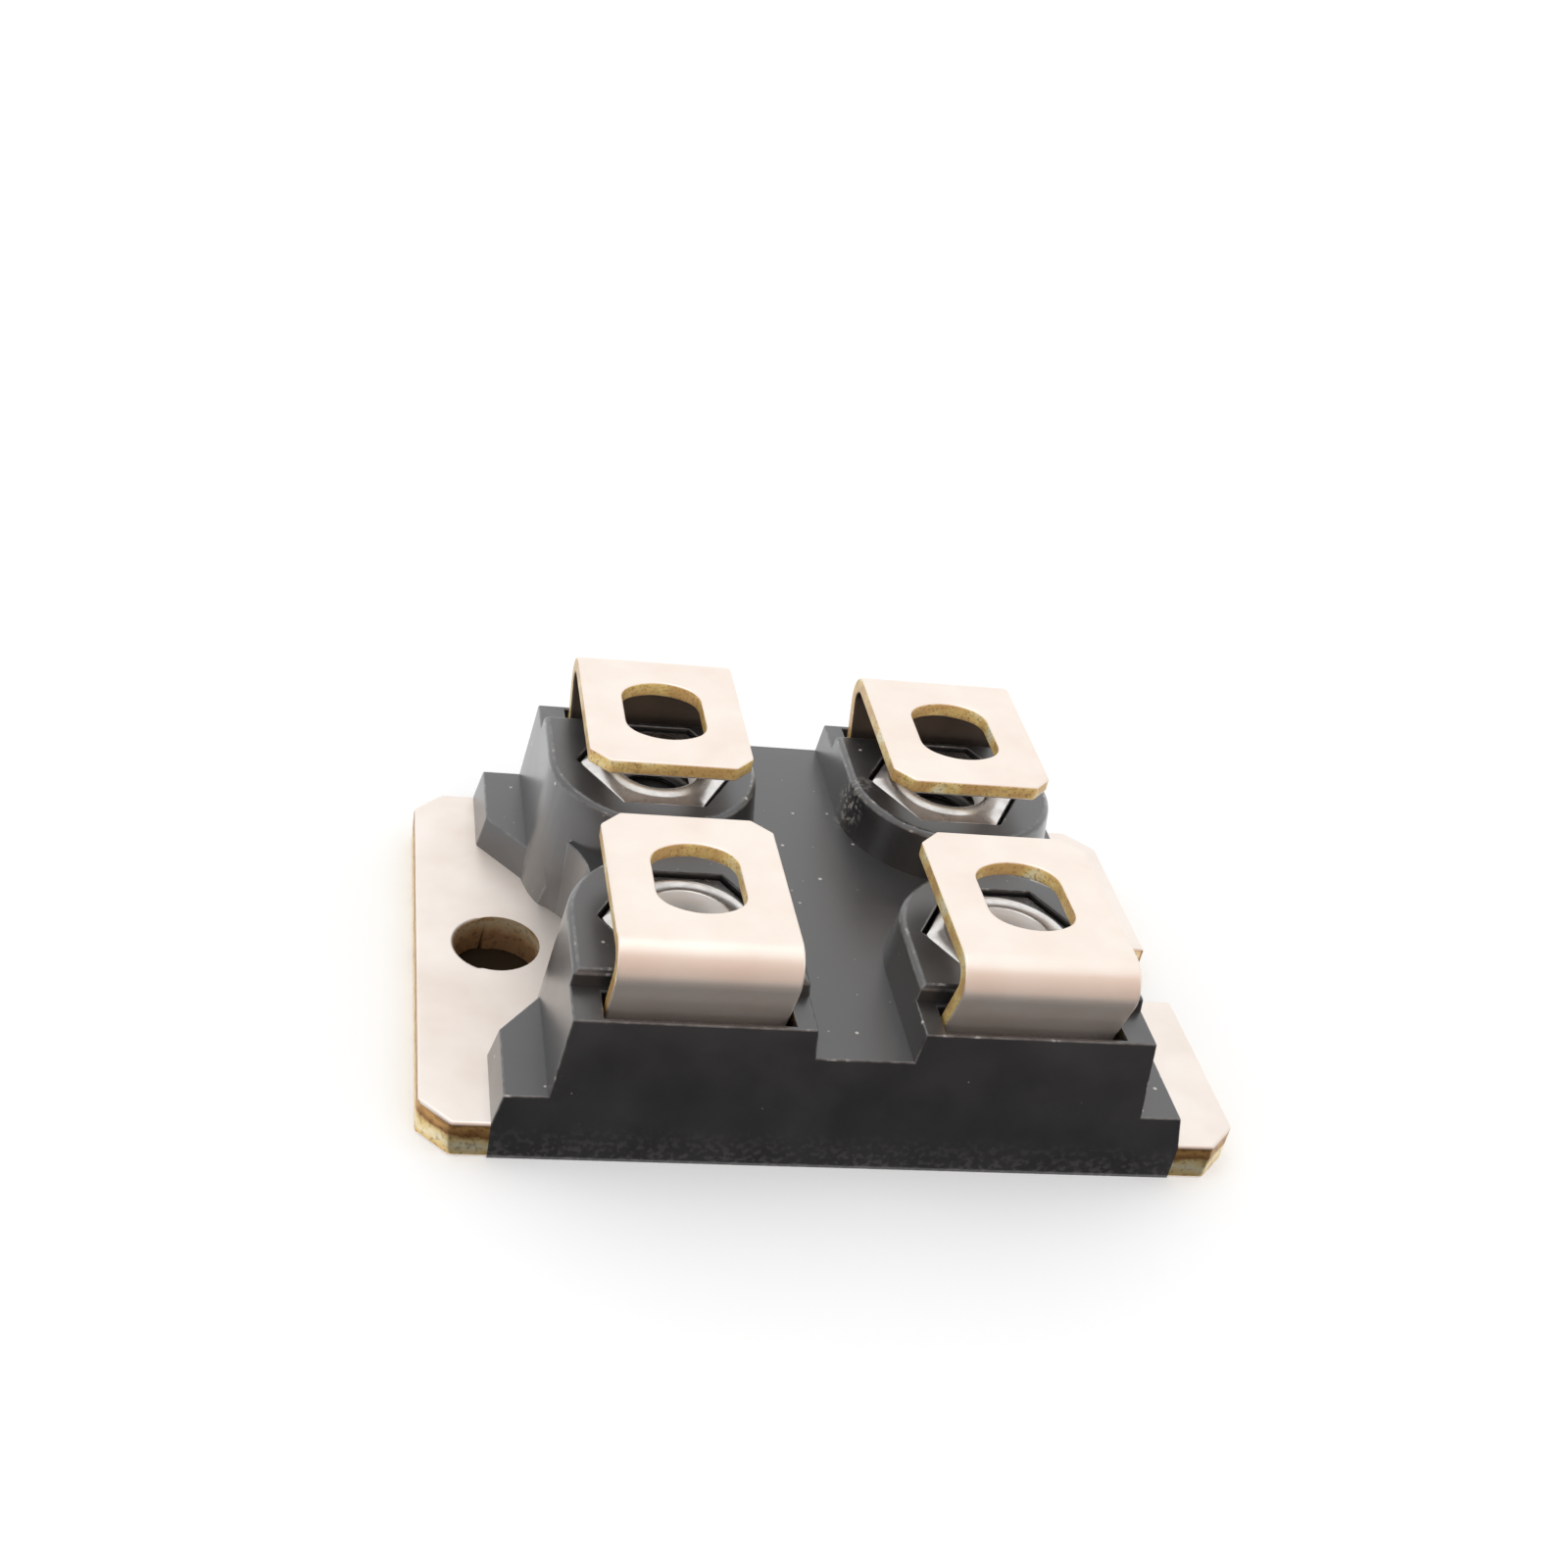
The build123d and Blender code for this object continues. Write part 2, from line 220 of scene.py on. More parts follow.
def sheared_copper(name, stops, pit_share):
    """Sheared or punched copper: bands of gold and brown from a smooth cut down to a tear."""
    finish, tree, shader, mm = start_finish(name)
    place = add(tree, "SeparateXYZ", {"Vector": mm})
    # the cut turns to a tear half way down the 2 mm edge, along a ragged line
    ragged = add(tree, "TexNoise", {"Vector": mm, "Scale": 1 / 0.8, "Detail": 2.0})
    height = add(
        tree, "Math", {0: ragged.outputs["Fac"], 1: TEAR_WANDER, 2: place.outputs["Z"]},
        operation="MULTIPLY_ADD",
    )
    share = add(
        tree, "MapRange",
        {"Value": height.outputs[0], "From Min": TEAR_WANDER / 2,
         "From Max": TEAR_WANDER / 2 + plate_top / MM},
    )
    bands = add(tree, "ValToRGB", {"Fac": share.outputs[0]}, stops=stops)
    # torn pits, 0.25 mm wide
    torn = add(tree, "TexNoise", {"Vector": mm, "Scale": 1 / 0.25, "Detail": 3.0})
    pits = add(
        tree, "MapRange",
        {"Value": torn.outputs["Fac"], "From Min": 0.33, "From Max": 0.46,
         "To Min": pit_share, "To Max": 0.0},
    )
    tint = add(
        tree, "Mix", {0: pits.outputs[0], 6: bands.outputs[0], 7: paint(SHEAR_DARK)},
        data_type="RGBA",
    )
    relief = add(
        tree, "Bump", {"Height": torn.outputs["Fac"], "Strength": 0.4, "Distance": 0.05 * MM}
    )
    set_sockets(tree, shader, {
        "Base Color": tint.outputs[2], "Normal": relief.outputs["Normal"],
        "Metallic": 0.75, "Roughness": 0.42,
    })
    return finish


plate_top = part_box("base_plate")[1].z
plate_finishes = [
    matt_nickel(),
    sheared_copper(
        "sheared_copper_edge",
        [(0.0, SHEAR_TAN), (1.0, SHEAR_BROWN), (0.15, SHEAR_GOLD), (0.35, SHEAR_SMEAR),
         (0.5, SHEAR_GOLD), (0.62, SHEAR_BROWN), (0.8, SHEAR_TAN)],
        pit_share=0.4,
    ),
    sheared_copper(
        "punched_copper_hole",
        [(0.0, HOLE_DARK), (1.0, HOLE_BROWN), (0.45, HOLE_DARK), (0.6, HOLE_BROWN),
         (0.85, HOLE_TAN)],
        pit_share=0.35,
    ),
]
plate_form = merged_copy("base_plate")
mould_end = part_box("moulded_body")[1].x
# the edges inside the moulding stay square, so that it closes on them
round_edges(
    plate_form, PLATE_EDGE_RADIUS, 3,
    lambda edge: max(abs(vert.co.x) for vert in edge.verts) > mould_end + WELD_GAP,
)
for face in plate_form.faces:
    if abs(face.normal.z) < WALL_RISE:
        middle = face.calc_center_median()
        in_hole = abs(middle.y) < HOLE_REACH and abs(middle.x) < cad_box[1].x - END_MARGIN
        face.material_index = 2 if in_hole else 1
plate = finished_piece("base_plate_plated", plate_form, plate_finishes)
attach(plate, "root")
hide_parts("base_plate")
give(["base_plate"], plate_finishes[0])


# ---- Insulated substrate and its circuit ----------------------------------
# Aluminium oxide tile with copper bonded to both faces, soldered to the plate
# in a furnace.  All of it is sealed in the moulding.
SOLDER_GREY = "#B9BABB"
SOLDER_SHADE = "#8E9092"
BONDED_COPPER = "#C98A62"
BONDED_COPPER_DARK = "#9B5F40"
ALUMINA = "#ECE9E0"
ALUMINA_SHADE = "#DCD7C9"


def sealed_finish(name, first, second, grain, metallic, roughness, relief_depth):
    """A plain sealed material: two tones in grains, with a little relief, sizes in mm."""
    finish, tree, shader, mm = start_finish(name)
    pattern = add(tree, "TexNoise", {"Vector": mm, "Scale": 1 / grain, "Detail": 3.0})
    share = add(
        tree, "MapRange", {"Value": pattern.outputs["Fac"], "From Min": 0.35, "From Max": 0.65}
    )
    relief = add(
        tree, "Bump",
        {"Height": pattern.outputs["Fac"], "Strength": 0.4, "Distance": relief_depth * MM},
    )
    tint = add(
        tree, "Mix", {0: share.outputs[0], 6: paint(first), 7: paint(second)}, data_type="RGBA"
    )
    set_sockets(tree, shader, {
        "Base Color": tint.outputs[2], "Normal": relief.outputs["Normal"],
        "Metallic": metallic, "Roughness": roughness,
    })
    return finish


# reflowed tin solder: soft satin with a frosted grain of 0.3 mm
solder = sealed_finish(
    "reflowed_solder", SOLDER_GREY, SOLDER_SHADE,
    grain=0.3, metallic=1.0, roughness=0.42, relief_depth=0.01,
)
# copper bonded in a furnace: grains of 0.4 mm grown by the heat
copper = sealed_finish(
    "furnace_bonded_copper", BONDED_COPPER, BONDED_COPPER_DARK,
    grain=0.4, metallic=1.0, roughness=0.36, relief_depth=0.01,
)
# fired alumina: chalky white with a grain of 0.15 mm
alumina = sealed_finish(
    "fired_alumina", ALUMINA, ALUMINA_SHADE,
    grain=0.15, metallic=0.0, roughness=0.6, relief_depth=0.005,
)
give(["base_solder", "chip_solder", "terminal_solder"], solder)
give(["substrate_back_copper", "drain_pad", "source_pad", "gate_pad", "sense_pad"], copper)
give(["substrate_ceramic"], alumina)


# ---- Chip and bond wires ---------------------------------------------------
# Sawn silicon die with a metallised face, joined to its islands by drawn
# aluminium wires that are welded with ultrasound.
SILICON = "#5B5F68"
SILICON_SHEEN = "#7E838E"
WIRE_ALUMINIUM = "#D5D6D8"
WIRE_ALUMINIUM_SHADE = "#B4B6B9"

# sawn and metallised silicon: dark and glossy, with clouds of 0.8 mm
silicon = sealed_finish(
    "sawn_silicon", SILICON, SILICON_SHEEN,
    grain=0.8, metallic=0.6, roughness=0.22, relief_depth=0.002,
)
# drawn wire: bright with a fine satin of 0.05 mm
drawn_wire = sealed_finish(
    "drawn_aluminium", WIRE_ALUMINIUM, WIRE_ALUMINIUM_SHADE,
    grain=0.05, metallic=1.0, roughness=0.3, relief_depth=0.002,
)
give(["power_chip"], silicon)
give(["source_wires", "gate_wire", "sense_wire"], drawn_wire)


# ---- Terminals -------------------------------------------------------------
# Four strips punched from rolled copper alloy, nickel plated in the coil, so
# their faces are pale and satin while every punched edge and hole wall shows
# the golden metal.  The bend was folded after the body was moulded.
STRIP_EDGE_RADIUS = 0.13 * MM
STRIP_NICKEL = "#FCF1E7"
STRIP_NICKEL_PINK = "#F3E0D3"
# the inner side of the leg is painted dark: painted shade and the dark reflection of the moulding
# under the tab
LEG_INNER_SHADE = "#5A534D"
LEG_INNER_SHADE_DARK = "#38332F"
PUNCH_BROWN = "#A27A48"
PUNCH_TAN = "#DEB474"
PUNCH_GOLD = "#F9DA8E"
PUNCH_PALE = "#FFF8D4"
# the tab lies within this distance of the middle, the bend and the leg beyond it
TAB_INNER_Y = 10 * MM
# on the bend and the leg, a punched side's normal has this share of X, and an inner face's
# this share of Y towards the middle
SIDE_SHARE = 0.85
INNER_SHARE = 0.3


def rolled_nickel(name, pale, pink):
    """Nickel-plated rolled strip: satin, with faint rolling lines along X and a haze of 2.5 mm."""
    finish, tree, shader, mm = start_finish(name)
    # real rolling lines are near 0.02 mm apart; drawn at 0.15 mm so that they show
    along = add(tree, "Mapping", {"Vector": mm, "Scale": (0.04, 1.0, 1.0)})
    lines = add(
        tree, "TexNoise", {"Vector": along.outputs[0], "Scale": 1 / 0.15, "Detail": 2.0}
    )
    haze = add(tree, "TexNoise", {"Vector": mm, "Scale": 1 / 2.5, "Detail": 3.0})
    share = add(
        tree, "MapRange",
        {"Value": haze.outputs["Fac"], "From Min": 0.35, "From Max": 0.75, "To Max": 0.6},
    )
    tint = add(
        tree, "Mix", {0: share.outputs[0], 6: paint(pale), 7: paint(pink)}, data_type="RGBA"
    )
    dull = add(
        tree, "MapRange",
        {"Value": lines.outputs["Fac"], "From Min": 0.3, "From Max": 0.7,
         "To Min": 0.33, "To Max": 0.38},
    )
    relief = add(
        tree, "Bump",
        {"Height": lines.outputs["Fac"], "Strength": 0.03, "Distance": 0.01 * MM},
    )
    set_sockets(tree, shader, {
        "Base Color": tint.outputs[2], "Roughness": dull.outputs[0],
        "Normal": relief.outputs["Normal"], "Metallic": 0.72,
    })
    return finish


def punched_edge():
    """Punched edge of the strip: golden alloy in soft patches of 1.5 mm, pits of 0.14 mm."""
    finish, tree, shader, mm = start_finish("punched_copper_alloy")
    patch = add(tree, "TexNoise", {"Vector": mm, "Scale": 1 / 1.5, "Detail": 2.0})
    share = add(
        tree, "MapRange", {"Value": patch.outputs["Fac"], "From Min": 0.3, "From Max": 0.7}
    )
    bands = add(
        tree, "ValToRGB", {"Fac": share.outputs[0]},
        stops=[(0.0, PUNCH_TAN), (1.0, PUNCH_PALE), (0.35, PUNCH_TAN), (0.7, PUNCH_GOLD)],
    )
    pits = add(tree, "TexNoise", {"Vector": mm, "Scale": 1 / 0.14, "Detail": 2.0})
    dark = add(
        tree, "MapRange",
        {"Value": pits.outputs["Fac"], "From Min": 0.3, "From Max": 0.48,
         "To Min": 0.7, "To Max": 0.0},
    )
    tint = add(
        tree, "Mix", {0: dark.outputs[0], 6: bands.outputs[0], 7: paint(PUNCH_BROWN)},
        data_type="RGBA",
    )
    relief = add(
        tree, "Bump", {"Height": pits.outputs["Fac"], "Strength": 0.25, "Distance": 0.02 * MM}
    )
    set_sockets(tree, shader, {
        "Base Color": tint.outputs[2], "Normal": relief.outputs["Normal"],
        "Metallic": 0.2, "Roughness": 0.3,
    })
    return finish


def is_bare(face):
    """True where a face shows the punched metal: sides, free end and hole, inside their rims."""
    if abs(face.calc_center_median().y) < TAB_INNER_Y:
        return abs(face.normal.z) < WALL_RISE
    return abs(face.normal.x) > SIDE_SHARE


def is_inner_shaded(face):
    """True on the inner side of the leg, painted dark as shade and as the dark reflection of the
    moulding under the tab.
    """
    middle = face.calc_center_median()
    return abs(middle.y) > TAB_INNER_Y and face.normal.y * middle.y < -INNER_SHARE * abs(middle.y)


strip_finishes = [
    rolled_nickel("rolled_nickel_strip", STRIP_NICKEL, STRIP_NICKEL_PINK),
    punched_edge(),
    # the inner side of the leg, painted dark as shade
    rolled_nickel("inner_shaded_nickel_strip", LEG_INNER_SHADE, LEG_INNER_SHADE_DARK),
]
for corner in ("front_left", "front_right", "rear_left", "rear_right"):
    node = "terminal_" + corner
    strip_form = merged_copy(node)
    round_edges(strip_form, STRIP_EDGE_RADIUS, 3)
    for face in strip_form.faces:
        face.material_index = 1 if is_bare(face) else 2 if is_inner_shaded(face) else 0
    strip = finished_piece(node + "_plated", strip_form, strip_finishes)
    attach(strip, "root")
    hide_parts(node)
    give([node], strip_finishes[0])


# ---- Moulded body ----------------------------------------------------------
# Black epoxy moulding compound, pressed hot round the plate and the circuit in
# a spark-eroded steel mould.  It is hard and slightly glossy, with silica dust,
# pale nicks on its edges, light scuffs from handling, and a painted highlight
# along its rounded edges.
MOULD_EDGE_RADIUS = 0.08 * MM
MOULD_BLACK = "#242324"
MOULD_GREY = "#323132"
# the rounded edges' grey: a painted highlight along the rims, with some rubbing
MOULD_RIM_HIGHLIGHT_AND_WEAR = "#5C5A59"
DUST = "#C4BEB8"
NICK = "#A9A29C"
# dust: a cell's size in mm, the random tone above which a cell has a speck, and the speck's
# radius as a share of the cell; specks are 0.22 and 0.065 mm wide
DUST_CELLS = [(1.3, 0.5, 0.085), (0.5, 0.74, 0.065)]
# the scuff on the wall beside the channel is solid up to the core and gone at the reach, in mm
SCUFF_PLACE = (2.9, 5.7, 7.6)
SCUFF_CORE = 0.7
SCUFF_REACH = 1.6
# dust caught along the foot of the walls: its two heights in mm, and how much there is
FOOT_DUST_LOW = 0.2
FOOT_DUST_HIGH = 2.2
FOOT_DUST_SHARE = 0.13
# the space round the circuit, whose edges are sealed in the moulding
SEALED_TOP = 6.2 * MM
SEALED_SIDE = Vector((11.3, 10.9, 0)) * MM


def black_epoxy(name, highlighted_and_worn):
    """Black epoxy compound: erosion grain, cloudy sheen and dust; on edges a painted rim highlight
    and nicks.
    """
    finish, tree, shader, mm = start_finish(name)
    # spark erosion leaves pits near 0.02 mm; drawn at 0.12 mm so that they show
    grain = add(tree, "TexNoise", {"Vector": mm, "Scale": 1 / 0.12, "Detail": 2.0})
    cloud = add(tree, "TexNoise", {"Vector": mm, "Scale": 1 / 3.0, "Detail": 4.0})
    share = add(
        tree, "MapRange", {"Value": cloud.outputs["Fac"], "From Min": 0.35, "From Max": 0.7}
    )
    ground = add(
        tree, "Mix",
        {0: share.outputs[0], 6: paint(MOULD_BLACK), 7: paint(MOULD_GREY)}, data_type="RGBA",
    ).outputs[2]
    if highlighted_and_worn:
        # the rounded edges are painted a lighter grey, a painted highlight with some rubbing,
        # with pale nicks of 0.5 mm here and there
        rub = add(tree, "TexNoise", {"Vector": mm, "Scale": 1 / 0.5, "Detail": 3.0})
        for low, high, code in ((0.35, 0.6, MOULD_RIM_HIGHLIGHT_AND_WEAR), (0.64, 0.7, NICK)):
            amount = add(
                tree, "MapRange",
                {"Value": rub.outputs["Fac"], "From Min": low, "From Max": high, "To Max": 0.8},
            )
            ground = add(
                tree, "Mix", {0: amount.outputs[0], 6: ground, 7: paint(code)},
                data_type="RGBA",
            ).outputs[2]
    # a soft round speck of dust at the point of each lucky cell
    for cell, least_tone, radius in DUST_CELLS:
        cells = add(tree, "TexVoronoi", {"Vector": mm, "Scale": 1 / cell}, feature="F1")
        lucky = add(
            tree, "Math", {0: cells.outputs["Color"], 1: least_tone}, operation="GREATER_THAN"
        )
        near = add(
            tree, "MapRange",
            {"Value": cells.outputs["Distance"], "From Min": radius * 0.6, "From Max": radius,
             "To Min": 1.0, "To Max": 0.0},
        )
        speck = add(
            tree, "Math", {0: near.outputs[0], 1: lucky.outputs[0]}, operation="MULTIPLY"
        )
        ground = add(
            tree, "Mix", {0: speck.outputs[0], 6: ground, 7: paint(DUST)}, data_type="RGBA"
        ).outputs[2]
    # pale crumbs 0.15 mm wide, in the scuff and thinly along the foot of the walls
    crumbs = add(tree, "TexNoise", {"Vector": mm, "Scale": 1 / 0.3, "Detail": 3.0})
    crumb_share = add(
        tree, "MapRange",
        {"Value": crumbs.outputs["Fac"], "From Min": 0.5, "From Max": 0.58, "To Max": 0.7},
    )
    gap = add(tree, "VectorMath", {0: mm, 1: SCUFF_PLACE}, operation="DISTANCE")
    scuff = add(
        tree, "MapRange",
        {"Value": gap.outputs["Value"], "From Min": SCUFF_CORE, "From Max": SCUFF_REACH,
         "To Min": 1.0, "To Max": 0.0},
    )
    height = add(tree, "SeparateXYZ", {"Vector": mm})
    foot = add(
        tree, "MapRange",
        {"Value": height.outputs["Z"], "From Min": FOOT_DUST_LOW, "From Max": FOOT_DUST_HIGH,
         "To Min": FOOT_DUST_SHARE, "To Max": 0.0},
    )
    for mask in (scuff, foot):
        crumb = add(
            tree, "Math", {0: mask.outputs[0], 1: crumb_share.outputs[0]}, operation="MULTIPLY"
        )
        ground = add(
            tree, "Mix", {0: crumb.outputs[0], 6: ground, 7: paint(DUST)}, data_type="RGBA"
        ).outputs[2]
    dull = add(
        tree, "MapRange",
        {"Value": cloud.outputs["Fac"], "From Min": 0.3, "From Max": 0.7,
         "To Min": 0.3, "To Max": 0.4},
    )
    relief = add(
        tree, "Bump",
        {"Height": grain.outputs["Fac"], "Strength": 0.2, "Distance": 0.01 * MM},
    )
    set_sockets(tree, shader, {
        "Base Color": ground, "Roughness": dull.outputs[0], "Normal": relief.outputs["Normal"],
        "Specular IOR Level": 1.0, "Coat Weight": 0.9, "Coat Roughness": 0.3,
    })
    return finish


def gets_rim_highlight(edge):
    """True for a proud moulding edge, clear of the plate and not sealed inside: it takes the
    painted rim highlight.
    """
    middle = (edge.verts[0].co + edge.verts[1].co) / 2
    inside = abs(middle.x) < SEALED_SIDE.x and abs(middle.y) < SEALED_SIDE.y
    clear = max(vert.co.z for vert in edge.verts) > plate_top + WELD_GAP
    return edge.is_convex and clear and (middle.z > SEALED_TOP or not inside)


epoxy_finishes = [
    black_epoxy("moulded_black_epoxy", highlighted_and_worn=False),
    black_epoxy("epoxy_edge_highlight_and_wear", highlighted_and_worn=True),
]
body_form = merged_copy("moulded_body")
round_edges(body_form, MOULD_EDGE_RADIUS, 2, gets_rim_highlight, rounding=1)
body = finished_piece("moulded_body_finished", body_form, epoxy_finishes)
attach(body, "root")
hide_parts("moulded_body")
give(["moulded_body"], epoxy_finishes[0])


# ---- Captive nuts ----------------------------------------------------------
# Four M4 hexagon nuts, cold formed in steel, tapped and zinc plated bright.
# They lie loose in their pockets under the tabs.
NUT_STEEL = "#EDEAE7"
NUT_STEEL_SHADE = "#CFCBC7"
# the painted shade deep in the threaded bore
THREAD_PAINTED_SHADE = "#0F0D0B"
NUT_STEPS = 72
NUT_SIDES = 6
FLANGE_DROP = 0.42 * MM
FLANGE_EDGE = 0.14 * MM
# the outer ring of the flange, with its rounded edges, is what the six flats shape
FLANGE_RING = 1.5 * FLANGE_EDGE
BORE_DROP = 1.2 * MM
BORE_REACH = 1.95 * MM
THREAD_PITCH = 0.7 * MM
THREAD_CREST = 1.65 * MM
THREAD_ROOT = 2.0 * MM
# the ridge's back lies a little inside the steel, also where its crest has run out
THREAD_BACK = 2.04 * MM
THREAD_SUNK = 0.02 * MM
# half the ridge's height, as a share of the pitch, which leaves a narrow flat at the root
THREAD_FLANK = 0.46
THREAD_RUN_IN = 0.3 * MM
THREAD_STEPS_PER_TURN = 40
# the share of the thread at each end over which the crest runs out
THREAD_FADE = 0.07
# depths under the top in mm: the steel is bright above the first, and painted darker towards the
# second, as shade deep in the bore
BORE_SHADE_START = 1.4
BORE_SHADE_DEEP = 2.3
# the mouth and the crown round it: distances in mm out from the axis and down from the top
COUNTERSINK = [(2.0, 1.3), (1.74, 1.2), (1.74, 1.05)]
CROWN = [(2.14, 0.3), (2.3, 0.25), (2.8, 0.25), (3.02, 0.29), (3.12, 0.36)]


def bright_zinc():
    """Bright zinc on cold-formed steel: nearly smooth, with faint smears of 0.8 mm."""
    finish, tree, shader, mm = start_finish("bright_zinc_steel")
    smear = add(tree, "TexNoise", {"Vector": mm, "Scale": 1 / 0.8, "Detail": 4.0})
    share = add(
        tree, "MapRange", {"Value": smear.outputs["Fac"], "From Min": 0.4, "From Max": 0.8}
    )
    tint = add(
        tree, "Mix", {0: share.outputs[0], 6: paint(NUT_STEEL), 7: paint(NUT_STEEL_SHADE)},
        data_type="RGBA",
    )
    dull = add(
        tree, "MapRange",
        {"Value": smear.outputs["Fac"], "From Min": 0.3, "From Max": 0.7,
         "To Min": 0.2, "To Max": 0.3},
    )
    set_sockets(tree, shader, {
        "Base Color": tint.outputs[2], "Roughness": dull.outputs[0], "Metallic": 1.0,
    })
    return finish


def shaded_thread(top):
    """The bore's steel: bright at the mouth, and painted dark from 2 mm down as shade deep in the
    bore.
    """
    finish, tree, shader, mm = start_finish("shade_painted_thread_steel")
    place = add(tree, "SeparateXYZ", {"Vector": mm})
    share = add(
        tree, "MapRange",
        {"Value": place.outputs["Z"], "From Min": top / MM - BORE_SHADE_DEEP,
         "From Max": top / MM - BORE_SHADE_START},
    )
    tint = add(
        tree, "ValToRGB", {"Fac": share.outputs[0]},
        stops=[(0.0, THREAD_PAINTED_SHADE), (1.0, NUT_STEEL), (0.35, THREAD_PAINTED_SHADE)],
    )
    set_sockets(tree, shader, {"Base Color": tint.outputs[0], "Metallic": 0.3, "Roughness": 0.4})
    return finish


def add_nut(form, centre, flats, bottom, top):
    """A hexagon flange with a round crown: a profile spun round, its rim pushed to six flats."""
    rim = flats / 2
    flange = top - FLANGE_DROP
    line = [(THREAD_ROOT, bottom)] + [(out * MM, top - drop * MM) for out, drop in COUNTERSINK]
    line += [(out * MM, top - drop * MM) for out, drop in CROWN]
    line += [(rim - FLANGE_EDGE, flange), (rim, flange - FLANGE_EDGE)]
    line += [(rim, bottom + FLANGE_EDGE), (rim - FLANGE_EDGE, bottom)]
    points = [form.verts.new((centre.x + out, centre.y, z)) for out, z in line]
    edges = [form.edges.new((points[i - 1], points[i])) for i in range(len(points))]
    before = set(form.verts) - set(points)
    bmesh.ops.spin(
        form, geom=points + edges, cent=(centre.x, centre.y, 0), axis=(0, 0, 1),
        angle=2 * math.pi, steps=NUT_STEPS, use_merge=True,
    )
    turned = [vert for vert in form.verts if vert not in before]
    side = 2 * math.pi / NUT_SIDES
    for vert in turned:
        radial = Vector((vert.co.x - centre.x, vert.co.y - centre.y, 0))
        if radial.length > rim - FLANGE_RING:
            turn = math.atan2(radial.y, radial.x) % side - side / 2
            vert.co += radial * (1 / math.cos(turn) - 1)
    faces = {face for vert in turned for face in vert.link_faces}
    bmesh.ops.recalc_face_normals(form, faces=list(faces))


def add_thread(form, centre, bottom, top):
    """A V-shaped helical ridge round a bore, fading out at both ends."""
    rise = top - bottom - 2 * THREAD_RUN_IN
    turns = rise / THREAD_PITCH
    count = round(turns * THREAD_STEPS_PER_TURN)
    low = bottom + THREAD_RUN_IN
    half = THREAD_PITCH * THREAD_FLANK
    before = set(form.verts)
    profile = [(THREAD_BACK, -half), (THREAD_CREST, 0.0), (THREAD_BACK, half)]
    ring = [form.verts.new((centre.x + r, centre.y, low + z)) for r, z in profile]
    edges = [form.edges.new((ring[i - 1], ring[i])) for i in range(3)]
    form.faces.new(ring)
    spun = bmesh.ops.spin(
        form, geom=edges, cent=(centre.x, centre.y, 0), axis=(0, 0, 1),
        dvec=(0, 0, rise / count), angle=2 * math.pi * turns, steps=count,
    )
    form.faces.new([part for part in spun["geom_last"] if isinstance(part, bmesh.types.BMVert)])
    thread = [vert for vert in form.verts if vert not in before]
    for vert in thread:
        radial = Vector((vert.co.x - centre.x, vert.co.y - centre.y, 0))
        share = (vert.co.z - low) / rise
        if radial.length < THREAD_ROOT and min(share, 1 - share) < THREAD_FADE:
            fade = 1 - max(0.0, min(share, 1 - share)) / THREAD_FADE
            grown = THREAD_CREST + fade * (THREAD_BACK - THREAD_SUNK - THREAD_CREST)
            vert.co += radial.normalized() * (grown - radial.length)
    faces = {face for vert in thread for face in vert.link_faces}
    bmesh.ops.recalc_face_normals(form, faces=list(faces))


nut_low, nut_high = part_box("terminal_nuts")
zinc = bright_zinc()
thread_steel = shaded_thread(nut_high.z)
cad_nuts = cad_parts["terminal_nuts"].data.vertices
nut_inner_x = min(vert.co.x for vert in cad_nuts if vert.co.x > 0)
nut_inner_y = min(vert.co.y for vert in cad_nuts if vert.co.y > 0)
nut_x = (nut_high.x + nut_inner_x) / 2
nut_y = (nut_high.y + nut_inner_y) / 2
nut_form = bmesh.new()
for side_x in (-1, 1):
    for side_y in (-1, 1):
        centre = Vector((side_x * nut_x, side_y * nut_y, 0))
        add_nut(nut_form, centre, nut_high.y - nut_inner_y, nut_low.z, nut_high.z)
        add_thread(nut_form, centre, nut_low.z, nut_high.z - BORE_DROP)
for face in nut_form.faces:
    middle = face.calc_center_median()
    out = Vector((abs(middle.x) - nut_x, abs(middle.y) - nut_y)).length
    face.material_index = 1 if out < BORE_REACH else 0
mark_sharp(nut_form)
nuts = finished_piece("terminal_nuts_tapped", nut_form, [zinc, thread_steel])
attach(nuts, "root")
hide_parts("terminal_nuts")
give(["terminal_nuts"], zinc)


# ---- Studio ----------------------------------------------------------------
# A pale paper floor that runs into a white surround, and a large soft lamp high
# above the module.  Two dim cards in front, one flat on the floor and one upright
# behind it, show only in reflections and give the bends their shade.
# sizes in metres, and the lamp's power in watts
FLOOR_HALF = 6.0
KEY_SIZE = 1.2
KEY_POWER = 4.0
KEY_PLACE = Vector((-0.3, 0.1, 2.0))
PAPER_SEEN = "#F4F4F4"
PAPER_GLOW = 0.1
PAPER_BOUNCE = "#7A7A7A"
# painted shade: the floor's colour under the closed screw hole
PAPER_PAINTED_SHADE = "#2B241B"
# the patch of floor under the closed screw hole that is painted dark as shade
SHADE_PLACE = (-15.1 * MM, 0, 0)
SHADE_REACH = 2.8 * MM
CARD_WHITE = "#FFFFFF"
CARD_TINT = "#F2D9CA"
# the floor card brightens and warms between these two places in front of the module
CARD_DARK_Y = -22 * MM
CARD_PALE_Y = -40 * MM
CARD_NEAR = 0.05 * MM
CARD_DISTANCE = 0.3
CARD_HALF_WIDTH = 0.5
CARD_HEIGHT = 0.5
CARD_LIFT = 0.1 * MM
# how bright the cards are: beside the module, where they meet, and at the top
LEVEL_UNDER = 0.08
LEVEL_HORIZON = 0.6
LEVEL_TOP = 0.98


